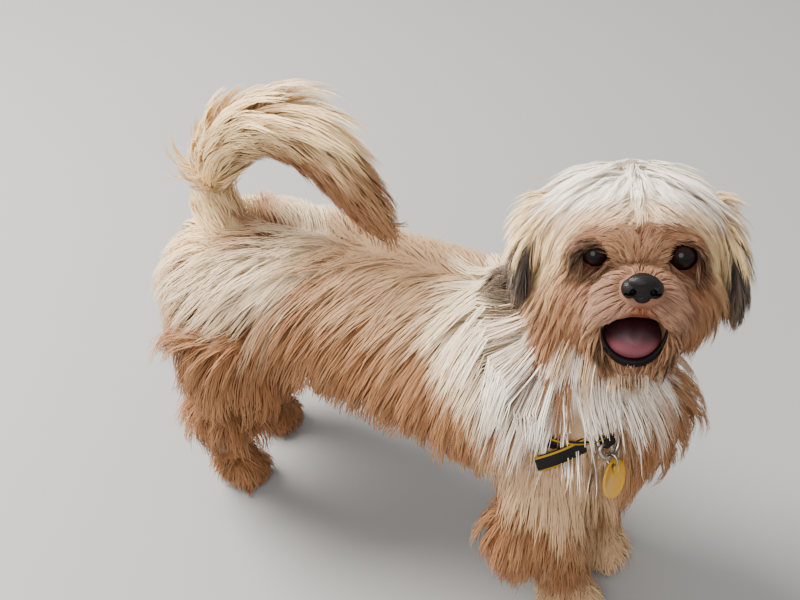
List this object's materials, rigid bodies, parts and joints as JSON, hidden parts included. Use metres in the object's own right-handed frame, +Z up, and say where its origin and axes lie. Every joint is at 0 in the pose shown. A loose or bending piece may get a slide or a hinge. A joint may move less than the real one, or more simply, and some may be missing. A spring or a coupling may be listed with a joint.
{
  "type": "shih tzu figure",
  "caption": "Life-size still model of a standing shih tzu in a short coat, head turned to its right, mouth open, plumed tail over its back, with collar and tag.",
  "frame": {"origin": "on the floor, at the bottom centre of the bounding box", "axes": "+X runs along the body towards the head, +Y is the dog's left side, +Z is up"},
  "size_m": [0.4208, 0.1884, 0.3619],
  "materials": {
    "coat_white": "soft hair",
    "coat_gold": "soft hair",
    "coat_ear": "soft hair",
    "nose_leather": "moist pebbled",
    "eye": "wet gloss",
    "tongue": "moist",
    "collar_web": "woven webbing with yellow edges",
    "ring_metal": "polished",
    "tag_enamel": "gloss enamel"
  },
  "bodies": {
    "root": {"barrel": "coat_gold", "chest": "coat_white", "collar": "collar_web", "collar_ring": "ring_metal", "ear_left": "coat_ear", "ear_right": "coat_ear", "eye_left": "eye", "eye_right": "eye", "foreleg_left": "coat_gold", "foreleg_right": "coat_gold", "head": "coat_white", "hindleg_left": "coat_gold", "hindleg_right": "coat_gold", "lower_jaw": "coat_white", "neck": "coat_white", "nose": "nose_leather", "paw_front_left": "coat_gold", "paw_front_right": "coat_gold", "paw_hind_left": "coat_gold", "paw_hind_right": "coat_gold", "rump": "coat_gold", "tag": "tag_enamel", "tag_link": "ring_metal", "tail_arch": "coat_gold", "tail_base": "coat_gold", "tail_rise": "coat_gold", "tail_tip": "coat_gold", "tongue": "tongue"}
  },
  "joints": []
}
